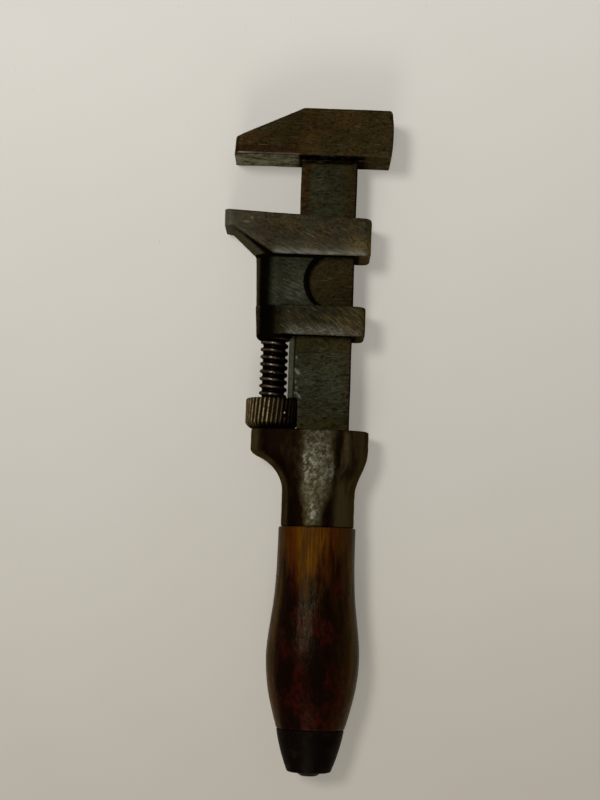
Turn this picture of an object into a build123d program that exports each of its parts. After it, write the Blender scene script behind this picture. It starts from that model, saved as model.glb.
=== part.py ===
from build123d import *
import os
from math import cos, pi, radians, sin, tan

# A screw-adjusted wrench lying flat. X runs from the jaws' noses to the hammer end, Y along the bar
# towards the head and Z up through the thickness. The origin is the middle of the fixed jaw's
# gripping face. Inside the functions x = 0 is the bar's axis, and the last lines shift the pieces.

# Bar, head and fixed jaw, forged in one
bar_width = 22.0
bar_thickness = 10.0
bar_edge_round = 1.0
head_thickness = 22.5
head_height = 19.1
head_edge_bevel = 0.8
grip_length = 26.1
nose_height = 7.0
nose_rake = 0.6
nose_bevel = 1.8
brow_run = 26.7
brow_round = 2.5
poll_length = 13.4
poll_crown = 0.7
poll_round = 1.6

# Rib along the bar's front edge, which ends as a shoulder over the thumb wheel
rib_width = 2.3
rib_thickness = 5.0
rib_length = 35.0
rib_edge_round = 0.6
rib_runout = 3.0

# Sliding jaw, drawn with its noses this far apart
jaw_opening = 21.6
jaw_toe_in = 2.1
jaw_overhang = 2.6
jaw_nose_height = 6.6
jaw_nose_flat = 3.2
jaw_nose_bevel = 2.0
jaw_depth = 16.8
jaw_thickness = 22.5
jaw_back_wall = 6.1
jaw_back_round = 3.5
jaw_edge_bevel = 0.7
beak_run = 19.3
gusset_radius = 6.5
gusset_setback = 0.5
window_height = 19.3
window_round = 10.4
window_reach = 4.3
window_bevel = 0.9
cheek_thickness = 16.2
lower_band_height = 11.8
lower_back_wall = 4.8
lower_front_round = 7.0
barrel_top_wall = 2.85
barrel_low_wall = 2.0
barrel_bulge = 0.3
barrel_end_wall = 1.6
barrel_tail = 1.6
barrel_tail_bevel = 1.3
bore_cover = 2.2

# Adjusting screw, a single left-hand square thread
screw_diameter = 10.7
thread_pitch = 2.82
thread_depth = 1.0
thread_crest = 1.1
thread_flank_lean = 0.2
thread_neck = 1.8
thread_turn = -119.0
thread_end = 0.6
thread_engaged = 5.0
pivot_diameter = 6.2
pivot_length = 6.5

# Knurled thumb wheel and the pin that fixes it to the screw
wheel_diameter = 20.4
wheel_height = 11.5
wheel_flutes = 36
flute_depth = 0.6
land_share = 0.35
wheel_bevel = 2.0
wheel_clear = 2.4
pin_diameter = 2.4
pin_recess = 0.3
pin_angle = 30.0

# Tang and the nut that holds the ferrule up against the bar
tang_diameter = 9.5
tang_end_diameter = 7.0
ferrule_nut_wall = 2.75
ferrule_nut_height = 6.5

# Ferrule: a step under the thumb wheel that sweeps down to the neck
step_past_screw = 7.9
step_height = 7.6
step_corner = 2.8
step_sweep = 13.5
sweep_start = 25.0
step_front_flat = 2.0
step_back_wall = 7.7
step_back_round = 6.5
back_sweep = 17.0
neck_length = 13.1
neck_wall = 5.0
neck_side_wall = 2.9
neck_flat = 1.0
sweep_stations = 4
bar_socket_depth = 7.0

# Wooden grip, its tenon in the ferrule and its spigot in the butt cap
grip_height = 76.2
grip_step = 0.8
grip_shoulder_width = 31.5
grip_shoulder_at = 28.0
grip_belly_width = 35.4
grip_belly_at = 54.5
grip_end_width = 26.0
grip_flatness = 0.86
grip_stations = 7
tenon_length = 9.0
spigot_length = 3.0

# Iron butt cap and the crowned nut on the tang's end
cap_height = 16.1
cap_wall = 2.5
cap_end_wall = 1.74
cap_bulge = 0.5
cap_stations = 3
tang_nut_wall = 1.9
tang_nut_height = 6.0
tang_nut_crown = 1.5
tang_nut_slope = 2.4
slot_width = 1.4
slot_depth = 1.2

# Clearances, and how far joined shapes run into each other
closed_gap = 0.3
slide_gap = 0.25
rib_gap = 0.25
bore_gap = 0.3
bore_end_gap = 0.3
channel_end_gap = 0.5
wheel_gap = 0.4
wheel_end_play = 0.3
pivot_gap = 0.08
pivot_end_gap = 0.4
nut_corner_gap = 0.44
fit_gap = 0.05
overlap = 1.0

# Across the tool
bar_front = -bar_width / 2
bar_back = bar_width / 2
nose_x = bar_front - grip_length
poll_x = bar_back + poll_length
tip_x = nose_x - jaw_overhang
screw_x = bar_front - rib_width - rib_gap - screw_diameter / 2
thread_root = screw_diameter / 2 - thread_depth
bore_radius = screw_diameter / 2 + bore_gap
barrel_top_radius = bore_radius + barrel_top_wall
barrel_low_radius = bore_radius + barrel_low_wall
ferrule_nut_flats = tang_diameter + 2 * ferrule_nut_wall
tenon_diameter = ferrule_nut_flats / cos(radians(30)) + 2 * nut_corner_gap
neck_half_width = tenon_diameter / 2 + neck_wall
ferrule_thickness = tenon_diameter + 2 * neck_side_wall
step_reach = step_past_screw - screw_x
grip_top_width = 2 * (neck_half_width + grip_step)
spigot_diameter = grip_end_width * grip_flatness - 2 * cap_wall
tang_nut_diameter = tang_end_diameter + 2 * tang_nut_wall
cap_end_width = (tang_nut_diameter + 2 * cap_end_wall) / grip_flatness
pin_length = wheel_diameter - 2 * pin_recess


def jaw_face_at(x):
    # Height of the sliding jaw's gripping face, which leans in towards its nose
    return -jaw_opening - (x - nose_x) * tan(radians(jaw_toe_in))


# Along the sliding jaw, where it is drawn
jaw_under = -jaw_opening - jaw_depth
window_bottom = jaw_under - window_height
jaw_bottom = window_bottom - lower_band_height
barrel_bottom = jaw_bottom - barrel_tail
beak_low = jaw_face_at(tip_x) - jaw_nose_height
bore_top = jaw_face_at(screw_x) - bore_cover

# How far the jaw runs: it closes until the noses almost meet, with some thread still engaged, and
# opens until the screw reaches the end of its bore
close_travel = jaw_opening - closed_gap
screw_top = barrel_bottom + close_travel + thread_engaged
open_travel = bore_top - bore_end_gap - screw_top

# Along the bar and the handle
wheel_top = barrel_bottom - open_travel - wheel_clear
wheel_bottom = wheel_top - wheel_height
notch_top = wheel_top + wheel_end_play
rib_top = notch_top + rib_length
ferrule_top = wheel_bottom - wheel_end_play
bar_end = ferrule_top - bar_socket_depth
ferrule_bottom = ferrule_top - step_height - step_corner - step_sweep - neck_length
tenon_top = ferrule_bottom + tenon_length
nut_seat = tenon_top + ferrule_nut_height
grip_bottom = ferrule_bottom - grip_height
spigot_end = grip_bottom - spigot_length
cap_bottom = grip_bottom - cap_height
tang_nut_seat = cap_bottom + tang_nut_height
origin_shift = Pos(bar_width / 2 + grip_length / 2, 0, 0)


def rod(x, low, high, radius):
    # Round bar along Y between two heights
    return Pos(x, low, 0) * Rot(X=-90) * Cylinder(
        radius, high - low, align=(Align.CENTER, Align.CENTER, Align.MIN)
    )


def tapered_rod(x, low, high, low_radius, high_radius):
    # Round bar along Y whose radius changes between two heights
    return Pos(x, low, 0) * Rot(X=-90) * Cone(
        low_radius, high_radius, high - low, align=(Align.CENTER, Align.CENTER, Align.MIN)
    )


def block(left, right, low, high, thickness):
    # Square block centred on the middle plane
    centre = Pos((left + right) / 2, (low + high) / 2, 0)
    return centre * Box(right - left, high - low, thickness)


def level(height):
    # Cross-section plane of the tool, looking along the bar
    return Plane(origin=(0, height, 0), x_dir=(1, 0, 0), z_dir=(0, 1, 0))


def corners_near(face, x, y):
    # The corner of a flat outline closest to a point
    return face.vertices().sort_by_distance((x, y, 0))[:1]


def bevel_flats(solid, tip, end, tip_bevel, bevel):
    # Bevels round the two flat sides as far as the end, wider along the tip
    edges = solid.faces().filter_by(Axis.Z).edges()
    solid = chamfer(edges.filter_by(lambda e: e.center().X < tip), tip_bevel)
    edges = solid.faces().filter_by(Axis.Z).edges()
    return chamfer(edges.filter_by(lambda e: tip + tip_bevel < e.center().X < end), bevel)


def bar_and_head():
    rim = [
        Polyline(
            (poll_x - poll_crown, head_height),
            (nose_x + brow_run, head_height),
            (nose_x + nose_rake, nose_height),
            (nose_x, 0),
            (poll_x - poll_crown, 0),
        ),
        ThreePointArc(
            (poll_x - poll_crown, 0),
            (poll_x, head_height / 2),
            (poll_x - poll_crown, head_height),
        ),
    ]
    outline = make_face(rim)
    outline = fillet(corners_near(outline, nose_x + brow_run, head_height), brow_round)
    outline = fillet(corners_near(outline, poll_x, head_height), poll_round)
    head = extrude(outline, head_thickness / 2, both=True)
    head = bevel_flats(head, nose_x + nose_rake, poll_x, nose_bevel, head_edge_bevel)

    bar = block(bar_front, bar_back, bar_end, head_height / 2, bar_thickness)
    bar = fillet(bar.edges().filter_by(Axis.Y), bar_edge_round)
    rib = extrude(
        make_face(
            Polyline(
                (bar_front + overlap, notch_top),
                (bar_front + overlap, rib_top),
                (bar_front, rib_top),
                (bar_front - rib_width, rib_top - rib_runout),
                (bar_front - rib_width, notch_top),
                close=True,
            )
        ),
        rib_thickness / 2,
        both=True,
    )
    rib = fillet(rib.edges().filter_by(Axis.Y).group_by(Axis.X)[0], rib_edge_round)
    notch = rod(screw_x, ferrule_top, notch_top, wheel_diameter / 2 + wheel_gap)
    tang = rod(0, spigot_end, bar_end + overlap, tang_diameter / 2)
    tang_end = rod(0, cap_bottom, spigot_end + overlap, tang_end_diameter / 2)
    return head + bar + rib - notch + tang + tang_end


def jaw_head():
    # Gripping face, beak and upper band round the bar
    back_x = bar_back + jaw_back_wall
    outline = make_face(
        Polyline(
            (tip_x, jaw_face_at(tip_x)),
            (back_x, jaw_face_at(back_x)),
            (back_x, jaw_under),
            (tip_x + beak_run, jaw_under),
            (tip_x + jaw_nose_flat, beak_low),
            (tip_x, beak_low),
            close=True,
        )
    )
    solid = extrude(outline, jaw_thickness / 2, both=True)
    back_edges = solid.edges().filter_by(Axis.Y).group_by(Axis.X)[-1]
    solid = fillet(back_edges, jaw_back_round)
    band_end = back_x - jaw_back_round - jaw_edge_bevel
    return bevel_flats(solid, tip_x + overlap, band_end, jaw_nose_bevel, jaw_edge_bevel)


def jaw_web():
    # Tapered barrel for the screw, the round gusset from it to the beak's nose, and the cheeks
    # between the two bands with the half-round window cut
    low = window_bottom - overlap
    window_x = bar_front + window_reach + window_round
    window_middle = (jaw_under + window_bottom) / 2
    cheeks = block(screw_x, window_x, low, jaw_under + overlap, cheek_thickness)
    window = Pos(window_x, window_middle, 0) * Cylinder(window_round, jaw_thickness)
    cheeks = cheeks - window
    cheeks = chamfer(cheeks.edges().filter_by(GeomType.CIRCLE), window_bevel)
    barrel = tapered_rod(screw_x, low, jaw_under, barrel_low_radius, barrel_top_radius)
    gusset_x = tip_x + gusset_setback + gusset_radius
    gusset = loft(
        [
            level(jaw_under) * Pos(screw_x, 0) * Circle(barrel_top_radius),
            level(beak_low + gusset_setback) * Pos(gusset_x, 0) * Circle(gusset_radius),
        ]
    )
    return barrel + gusset + cheeks


def lower_band():
    # Band round the bar, with the barrel's swollen lower end in front of it
    back_x = bar_back + lower_back_wall
    plan = Pos((screw_x + back_x) / 2, 0) * Rectangle(back_x - screw_x, jaw_thickness)
    solid = extrude(level(jaw_bottom) * plan, lower_band_height)
    back_edges = solid.edges().filter_by(Axis.Y).group_by(Axis.X)[-1]
    solid = fillet(back_edges, jaw_back_round)
    front_edges = solid.edges().filter_by(Axis.Y).group_by(Axis.X)[0]
    solid = fillet(front_edges, lower_front_round)
    solid = chamfer(solid.faces().filter_by(Axis.Y).edges(), jaw_edge_bevel)
    end_radius = bore_radius + barrel_end_wall
    barrel = tapered_rod(screw_x, barrel_bottom, window_bottom, end_radius, barrel_low_radius + barrel_bulge)
    barrel = chamfer(barrel.edges().group_by(Axis.Y)[0], barrel_tail_bevel)
    return solid + barrel


def sliding_jaw():
    solid = jaw_head() + jaw_web() + lower_band()
    low = barrel_bottom - overlap
    bar_slot = block(
        bar_front - slide_gap,
        bar_back + slide_gap,
        low,
        jaw_face_at(tip_x) + overlap,
        bar_thickness + 2 * slide_gap,
    )
    # The rib's channel opens into the screw's bore
    rib_channel = block(
        screw_x + bore_radius / 2,
        bar_front,
        low,
        rib_top + open_travel + channel_end_gap,
        rib_thickness + 2 * slide_gap,
    )
    bore = rod(screw_x, low, bore_top, bore_radius)
    return solid - bar_slot - rib_channel - bore


def across_wheel(radius, length):
    # Round bar along the wheel pin, through the screw's axis at the wheel's middle height
    middle = Pos(screw_x, (wheel_bottom + wheel_top) / 2, 0)
    return middle * Rot(Y=pin_angle) * Cylinder(radius, length)


def adjusting_screw():
    low = wheel_top + thread_neck
    height = screw_top - thread_end - low
    crest = screw_diameter / 2
    inner = thread_root - thread_depth / 2
    half_crest = thread_crest / 2
    half_base = half_crest + thread_flank_lean * (crest - inner)
    profile = Plane.XZ * make_face(
        Polyline(
            (inner, -half_base),
            (crest, -half_crest),
            (crest, half_crest),
            (inner, half_base),
            close=True,
        )
    )
    path = Helix(thread_pitch, height, crest, lefthand=True)
    ridge = sweep(profile, path=path, is_frenet=True)
    ridge = Pos(screw_x, low, 0) * Rot(Y=thread_turn) * Rot(X=-90) * ridge
    core = rod(screw_x, wheel_bottom, screw_top, thread_root)
    pivot = rod(screw_x, wheel_bottom - pivot_length, wheel_bottom, pivot_diameter / 2)
    hole = across_wheel(pin_diameter / 2 + fit_gap, pin_length)
    return core + ridge + pivot - hole


def thumb_wheel():
    radius = wheel_diameter / 2
    step = 2 * pi / wheel_flutes
    corners = []
    for flute in range(wheel_flutes):
        start = flute * step
        for reach, turn in (
            (radius, start),
            (radius, start + land_share * step),
            (radius - flute_depth, start + (1 + land_share) / 2 * step),
        ):
            corners.append((reach * cos(turn), reach * sin(turn)))
    plan = make_face(Polyline(*corners, close=True))
    solid = extrude(level(wheel_bottom) * Pos(screw_x, 0) * plan, wheel_height)
    envelope = rod(screw_x, wheel_bottom, wheel_top, radius + flute_depth)
    envelope = chamfer(envelope.edges().group_by(Axis.Y)[0], wheel_bevel + flute_depth)
    bore = rod(screw_x, wheel_bottom, wheel_top, thread_root + fit_gap)
    hole = across_wheel(pin_diameter / 2 + fit_gap, wheel_diameter)
    return (solid & envelope) - bore - hole


def wheel_pin():
    return across_wheel(pin_diameter / 2, pin_length)


def ferrule_section(depth, reach, back, front_round, back_round):
    # Rounded outline across the ferrule, with its own corner radius at each side
    outline = Pos((back - reach) / 2, 0) * Rectangle(back + reach, ferrule_thickness)
    outline = fillet(outline.vertices().group_by(Axis.X)[0], front_round)
    outline = fillet(outline.vertices().group_by(Axis.X)[-1], back_round)
    return level(ferrule_top - depth) * outline


def ferrule_flank():
    # Depth and reach of the front flank: the step's side, a bevel for its lower corner, a concave
    # part of an ellipse down to the neck, and the neck
    flank = [(0, step_reach), (step_height, step_reach)]
    corner_reach = step_reach - step_corner
    bevel = step_corner * cos(radians(45))
    flank.append((step_height + bevel, corner_reach + bevel))
    start = radians(sweep_start)
    for station in range(sweep_stations + 1):
        angle = start + (pi / 2 - start) * station / sweep_stations
        along = 1 - cos(angle) / cos(start)
        out = (1 - sin(angle)) / (1 - sin(start))
        depth = step_height + step_corner + step_sweep * along
        reach = neck_half_width + (corner_reach - neck_half_width) * out
        flank.append((depth, reach))
    flank.append((ferrule_top - ferrule_bottom, neck_half_width))
    return flank


def ferrule():
    back_reach = bar_back + step_back_wall
    step_front_round = ferrule_thickness / 2 - step_front_flat
    neck_round = ferrule_thickness / 2 - neck_flat
    sections = []
    for depth, reach in ferrule_flank():
        along = min(max((depth - step_height) / back_sweep, 0), 1)
        ease = (1 - cos(pi * along)) / 2
        back = back_reach + (neck_half_width - back_reach) * ease
        front_round = step_front_round + (neck_round - step_front_round) * ease
        back_round = step_back_round + (neck_round - step_back_round) * ease
        sections.append(ferrule_section(depth, reach, back, front_round, back_round))
    bar_socket = block(
        bar_front - fit_gap,
        bar_back + fit_gap,
        bar_end,
        ferrule_top,
        bar_thickness + 2 * fit_gap,
    )
    pivot_low = wheel_bottom - pivot_length - pivot_end_gap
    pivot_socket = rod(screw_x, pivot_low, ferrule_top, pivot_diameter / 2 + pivot_gap)
    nut_socket = rod(0, ferrule_bottom, nut_seat, tenon_diameter / 2 + fit_gap)
    tang_hole = rod(0, ferrule_bottom, bar_end, tang_diameter / 2 + fit_gap)
    return loft(sections, ruled=True) - bar_socket - pivot_socket - nut_socket - tang_hole


def ferrule_nut():
    plan = RegularPolygon(ferrule_nut_flats / 2, 6, major_radius=False)
    solid = extrude(level(tenon_top) * plan, ferrule_nut_height)
    return solid - rod(0, tenon_top, nut_seat, tang_diameter / 2 + fit_gap)


def oval_loft(side, count):
    # Oval body about the bar's axis, whose half width follows a side curve
    sections = []
    for step in range(count):
        point = side @ (step / (count - 1))
        sections.append(level(point.Y) * Ellipse(point.X, point.X * grip_flatness))
    return loft(sections)


def handle_grip():
    side = Spline(
        (grip_top_width / 2, ferrule_bottom),
        (grip_shoulder_width / 2, ferrule_bottom - grip_shoulder_at),
        (grip_belly_width / 2, ferrule_bottom - grip_belly_at),
        (grip_end_width / 2, grip_bottom),
        tangents=((0, -1), (-end_slope(), -1)),
    )
    tenon = rod(0, ferrule_bottom - overlap, tenon_top, tenon_diameter / 2)
    spigot = rod(0, spigot_end, grip_bottom + overlap, spigot_diameter / 2)
    bore = rod(0, spigot_end, tenon_top, tang_diameter / 2 + fit_gap)
    return oval_loft(side, grip_stations) + tenon + spigot - bore


def end_slope():
    # The butt cap's cone, which the grip runs into without a corner
    return (grip_end_width - cap_end_width) / 2 / cap_height


def butt_cap():
    top = (grip_end_width / 2, grip_bottom)
    end = (cap_end_width / 2, cap_bottom)
    middle = ((top[0] + end[0]) / 2 + cap_bulge, (top[1] + end[1]) / 2)
    body = oval_loft(ThreePointArc(top, middle, end), cap_stations)
    socket = rod(0, spigot_end, grip_bottom, spigot_diameter / 2 + fit_gap)
    hole = rod(0, cap_bottom, spigot_end, tang_end_diameter / 2 + fit_gap)
    nut_bore = rod(0, cap_bottom, tang_nut_seat, tang_nut_diameter / 2 + fit_gap)
    return body - socket - hole - nut_bore


def tang_nut():
    radius = tang_nut_diameter / 2
    end = cap_bottom - tang_nut_crown
    solid = rod(0, end, tang_nut_seat, radius)
    solid = chamfer(solid.edges().group_by(Axis.Y)[0], tang_nut_crown, tang_nut_slope)
    hole = rod(0, cap_bottom, tang_nut_seat, tang_end_diameter / 2 + fit_gap)
    slot = block(-radius, radius, end, end + slot_depth, slot_width)
    return solid - hole - slot


pieces = {
    "bar_and_head": bar_and_head,
    "sliding_jaw": sliding_jaw,
    "adjusting_screw": adjusting_screw,
    "thumb_wheel": thumb_wheel,
    "wheel_pin": wheel_pin,
    "ferrule": ferrule,
    "ferrule_nut": ferrule_nut,
    "handle_grip": handle_grip,
    "butt_cap": butt_cap,
    "tang_nut": tang_nut,
}

if __name__ == "__main__":
    os.makedirs("parts", exist_ok=True)
    for name, make in pieces.items():
        export_step(origin_shift * make(), f"parts/{name}.step")
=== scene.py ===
import bmesh
import bpy
import numpy as np
from mathutils import Matrix, Vector


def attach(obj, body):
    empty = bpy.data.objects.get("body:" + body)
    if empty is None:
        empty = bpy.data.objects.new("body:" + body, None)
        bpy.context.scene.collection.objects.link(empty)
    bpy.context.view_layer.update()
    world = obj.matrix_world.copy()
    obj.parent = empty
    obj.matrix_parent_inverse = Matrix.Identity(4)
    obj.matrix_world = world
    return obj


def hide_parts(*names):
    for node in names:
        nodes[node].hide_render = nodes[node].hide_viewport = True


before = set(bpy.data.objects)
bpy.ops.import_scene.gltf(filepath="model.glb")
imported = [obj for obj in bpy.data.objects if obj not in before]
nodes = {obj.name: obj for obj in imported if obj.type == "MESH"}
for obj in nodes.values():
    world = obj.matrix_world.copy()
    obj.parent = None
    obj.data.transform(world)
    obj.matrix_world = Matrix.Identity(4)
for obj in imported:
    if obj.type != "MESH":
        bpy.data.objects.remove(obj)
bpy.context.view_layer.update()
mm = 0.001
barAxis = 24.05  # the bar's axis from the origin, in mm
screwAxis = 5.15  # the screw's axis from the origin, in mm
print("frame loaded:", len(nodes), "nodes")


# meshes from arrays
def meshFrom(name, points, quads, triangles):
    mesh = bpy.data.meshes.new(name)
    corners = np.concatenate([quads.ravel(), triangles.ravel()]).astype(np.int32)
    starts = np.concatenate([np.arange(len(quads)) * 4, quads.size + np.arange(len(triangles)) * 3])
    mesh.vertices.add(len(points))
    mesh.vertices.foreach_set("co", points.astype(np.float32).ravel())
    mesh.loops.add(len(corners))
    mesh.loops.foreach_set("vertex_index", corners)
    mesh.polygons.add(len(starts))
    mesh.polygons.foreach_set("loop_start", starts.astype(np.int32))
    mesh.update(calc_edges=True)
    mesh.validate()
    mesh.shade_smooth()
    return mesh


def newObject(name, data):
    made = bpy.data.objects.new(name, data)
    bpy.context.scene.collection.objects.link(made)
    return made


# How far a quarter circle of the rim's size draws in, near the first and last depth.
def rimInset(depth, rim):
    edge = np.minimum(depth, depth[::-1])
    return rim * (1 - np.sqrt(1 - (1 - np.clip(edge / rim, 0, 1)) ** 2))


# angles once round, as one row
def onceRound(columns):
    return np.linspace(0, 2 * np.pi, columns, endpoint=False)[None, :]


# A closed skin over rings of points: quads join each ring to the next, and a fan of triangles
# closes the first and last ring on its middle. Six times the volume under the quads is the sum of
# their corner products, and where it is negative the faces turn round.
def skinMesh(name, rings):
    rows, columns = rings.shape[:2]
    index = np.arange(rows * columns).reshape(rows, columns)
    beside = np.roll(index, -1, axis=1)
    quads = np.stack([index[:-1], beside[:-1], beside[1:], index[1:]], -1).reshape(-1, 4)
    poles = np.array([rings[0].mean(0), rings[-1].mean(0)])
    topFan = np.stack([beside[0], index[0], np.full(columns, rows * columns)], -1)
    endFan = np.stack([index[-1], beside[-1], np.full(columns, rows * columns + 1)], -1)
    triangles = np.concatenate([topFan, endFan])
    points = np.concatenate([rings.reshape(-1, 3), poles])
    a, b, c, d = (points[quads[:, k]] for k in range(4))
    volume = np.sum(a * np.cross(b, c)) + np.sum(a * np.cross(c, d))
    if volume < 0:
        quads, triangles = quads[:, ::-1], triangles[:, ::-1]
    return meshFrom(name, points * mm, quads, triangles)


def addPiece(name, mesh, body, finish, slotName, *replaced):
    piece = newObject(name, mesh)
    mesh.materials.clear()
    mesh.materials.append(finish)
    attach(piece, body)
    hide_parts(*replaced)
    print("piece", name, len(mesh.polygons), "faces")


noiseTable = 8192  # random values that the noise draws on
noiseSteps = (73856093, 19349663, 83492791)  # primes that scatter the lattice points over them


# Value noise from -1 to 1: seeded random values on a lattice of the given size, blended between the
# eight corners round each point with smooth steps.
def unevenness(points, size, seed):
    table = np.random.default_rng(seed).uniform(-1, 1, noiseTable)
    cell = points / size
    low = np.floor(cell).astype(np.int64)
    share = cell - low
    share = share * share * (3 - 2 * share)
    total = np.zeros(len(points))
    for corner in range(8):
        step = np.array([corner & 1, corner >> 1 & 1, corner >> 2])
        spot = (low + step) * np.array(noiseSteps)
        key = (spot[:, 0] ^ spot[:, 1] ^ spot[:, 2]) % noiseTable
        total += table[key] * np.prod(np.where(step == 1, share, 1 - share), axis=1)
    return total


# 0 up to the low value, 1 from the high one, and between them three squares less two cubes of the share
def smoothStep(value, low, high):
    share = np.clip((value - low) / (high - low), 0, 1)
    return share * share * (3 - 2 * share)


# Smooth curve through stations: between two stations it is the cubic that keeps the slopes found
# from their neighbours.
def throughStations(at, stations, values):
    stations, values = np.asarray(stations, float), np.asarray(values, float)
    slope = np.gradient(values, stations)
    k = np.clip(np.searchsorted(stations, at) - 1, 0, len(stations) - 2)
    gap = stations[k + 1] - stations[k]
    t = (at - stations[k]) / gap
    first = values[k] * (1 + 2 * t) * (1 - t) ** 2 + slope[k] * gap * t * (1 - t) ** 2
    second = values[k + 1] * t * t * (3 - 2 * t) + slope[k + 1] * gap * t * t * (t - 1)
    return first + second


# shader sums
class Wire:
    def __init__(self, tree, socket):
        self.tree, self.socket = tree, socket

    def sum(self, operation, *values):
        return self.tree.node("ShaderNodeMath", {"operation": operation}, dict(enumerate(values)))

    def __add__(self, other):
        return self.sum("ADD", self, other)

    def __radd__(self, other):
        return self.sum("ADD", other, self)

    def __sub__(self, other):
        return self.sum("SUBTRACT", self, other)

    def __rsub__(self, other):
        return self.sum("SUBTRACT", other, self)

    def __mul__(self, other):
        return self.sum("MULTIPLY", self, other)

    def __rmul__(self, other):
        return self.sum("MULTIPLY", other, self)

    def __truediv__(self, other):
        return self.sum("DIVIDE", self, other)

    def size(self):
        return self.sum("ABSOLUTE", self)

    # 0 below the first value, 1 above the second, with a smooth step between
    def ramp(self, low, high):
        inputs = {"Value": self, "From Min": low, "From Max": high}
        return self.tree.node("ShaderNodeMapRange", {"interpolation_type": "SMOOTHSTEP"}, inputs)

    # a sum of masks, from 0 to 1 with a smooth step
    def eased(self):
        return self.ramp(0.0, 1.0)

    # masks over a named stretch of the look
    def above(self, name):
        return self.ramp(*self.tree.look[name])

    def below(self, name):
        return 1 - self.above(name)

    def near(self, name):
        middle, inner, outer = self.tree.look[name]
        return 1 - (self - middle).size().ramp(inner, outer)


class Tree:
    def __init__(self, owner, look):
        self.look = look
        owner.use_nodes = True
        self.nodes, self.links = owner.node_tree.nodes, owner.node_tree.links
        self.nodes.clear()

    def node(self, kind, settings=None, inputs=None, output=0):
        made = self.nodes.new(kind)
        for key, value in (settings or {}).items():
            setattr(made, key, value)
        for key, value in (inputs or {}).items():
            if isinstance(value, Wire):
                self.links.new(value.socket, made.inputs[key])
            else:
                made.inputs[key].default_value = value
        return Wire(self, made.outputs[output]) if made.outputs else None

    # blends two colours, each a wire or a name in the look
    def mix(self, share, *colours):
        first, second = (self.look[c] if isinstance(c, str) else c for c in colours)
        inputs = {0: share, 6: first, 7: second}
        return self.node("ShaderNodeMix", {"data_type": "RGBA"}, inputs, 2)


patternsApart = 7.3  # patch sizes between two clouds whose shifts differ by one


class Finish(Tree):
    def __init__(self, name, look):
        self.material = bpy.data.materials.new(name)
        super().__init__(self.material, look)
        self.place = self.node("ShaderNodeTexCoord", output="Object")
        self.x, self.y, self.z = (
            self.node("ShaderNodeSeparateXYZ", {}, {0: self.place}, axis) / mm for axis in range(3)
        )

    # cloudy pattern with patches of about the given size in mm, drawn out along each turned axis
    def cloud(self, size, stretch=(1, 1, 1), turn=0.0, detail=3.0, rough=0.55, shift=0.0):
        scale = tuple(size * mm * s for s in stretch)
        start = (shift * size * mm * patternsApart,) * 3
        inputs = {0: self.place, "Location": start, "Rotation": (0, 0, turn), "Scale": scale}
        spot = self.node("ShaderNodeMapping", {"vector_type": "TEXTURE"}, inputs)
        inputs = {"Vector": spot, "Scale": 1.0, "Detail": detail, "Roughness": rough}
        return self.node("ShaderNodeTexNoise", {}, inputs)

    def attribute(self, name):
        return self.node("ShaderNodeAttribute", {"attribute_name": name}, {}, 2)

    def bump(self, height, depth, strength):
        inputs = {"Height": height, "Distance": depth * mm, "Strength": strength}
        return self.node("ShaderNodeBump", {}, inputs)

    def surface(self, **inputs):
        named = {key.replace("_", " "): value for key, value in inputs.items()}
        shader = self.node("ShaderNodeBsdfPrincipled", {}, named)
        self.node("ShaderNodeOutputMaterial", {}, {"Surface": shader})
        return self.material

    # old iron: it reflects through its metal share alone, dim and warm where seen edge-on
    def darkMetal(self, **inputs):
        return self.surface(Specular_IOR_Level=0.0, Specular_Tint=grazingTint, **inputs)


def colour(red, green, blue):
    return (red, green, blue, 1.0)


print("helpers ready")

# Finishes. In a look, two numbers are where a mask starts and ends, in mm, and three are its middle and its
# inner and outer reach. Places across count from the bar's axis, or from the origin if their name ends in X.
grazingTint = colour(0.5, 0.4, 0.22)  # metal seen edge-on
steelLook = {
    "headBrown": colour(0.05, 0.0292, 0.0078),
    "headOlive": colour(0.042, 0.0325, 0.0098),
    "headDark": colour(0.0095, 0.0058, 0.0018),
    "headRed": colour(0.029, 0.01, 0.0034),
    "gripFace": colour(0.22, 0.212, 0.13),
    "gripPit": colour(0.024, 0.022, 0.011),
    "underOlive": colour(0.062, 0.048, 0.019),
    "barGrey": colour(0.04, 0.0455, 0.026),
    "barBrown": colour(0.04, 0.031, 0.0095),
    "barDark": colour(0.0068, 0.006, 0.0022),
    "stripRed": colour(0.04, 0.016, 0.0035),
    "ribGrey": colour(0.062, 0.065, 0.037),
    # near black, for painted shade where shade falls
    "paintedShadeBlack": colour(0.001, 0.0006, 0.0002),
    "worn": colour(0.3, 0.245, 0.185),
    "chip": colour(0.105, 0.108, 0.082),
    # each chip: place from the bar's axis, height, half-width, half-height, lean
    "chips": (
        (-9.9, -82.9, 1.0, 1.5, 0.7), (-10.3, -87.0, 0.45, 0.8, 0.0), (-9.8, -89.1, 0.55, 0.5, 0.0),
        (-10.3, -91.1, 0.8, 0.45, 0.0), (-8.9, -92.2, 0.6, 1.6, 0.7), (-10.2, -77.5, 0.45, 0.6, 0.0),
    ),
    "chipsDepth": (3.8, 4.4),
    "headFoot": (-0.8, -0.1), "headDepth": (10.5, 11.0), "faceTop": (0.5, 1.2), "faceRim": (9.6, 10.4),
    "barFront": (-12.6, -11.2), "barBack": (11, 12), "overBar": (12.5, 15.5), "redLine": (2.0, 0.6, 2.4),
    "greyLow": (-88, 9, 16), "greyHigh": (-16, 10, 18), "greyMiddle": (-1, 4, 8), "darkBelt": (-48, 8, 13),
    "frontStrip": (-8.6, -6.6), "frontStripHeight": (-50, -30), "backStrip": (6.6, 9.4),
    "backEdge": (9.9, 10.6), "backEdgeDepth": (2.5, 4.4), "underHeadShadow": (0, 1.0, 2.6),
    "ribFace": (-11.5, -11.1), "lowEdge": (0.45, 0.2, 0.6), "lowEdgeDepth": (10.4, 10.9), "nose": (-37, -27),
}


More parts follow.
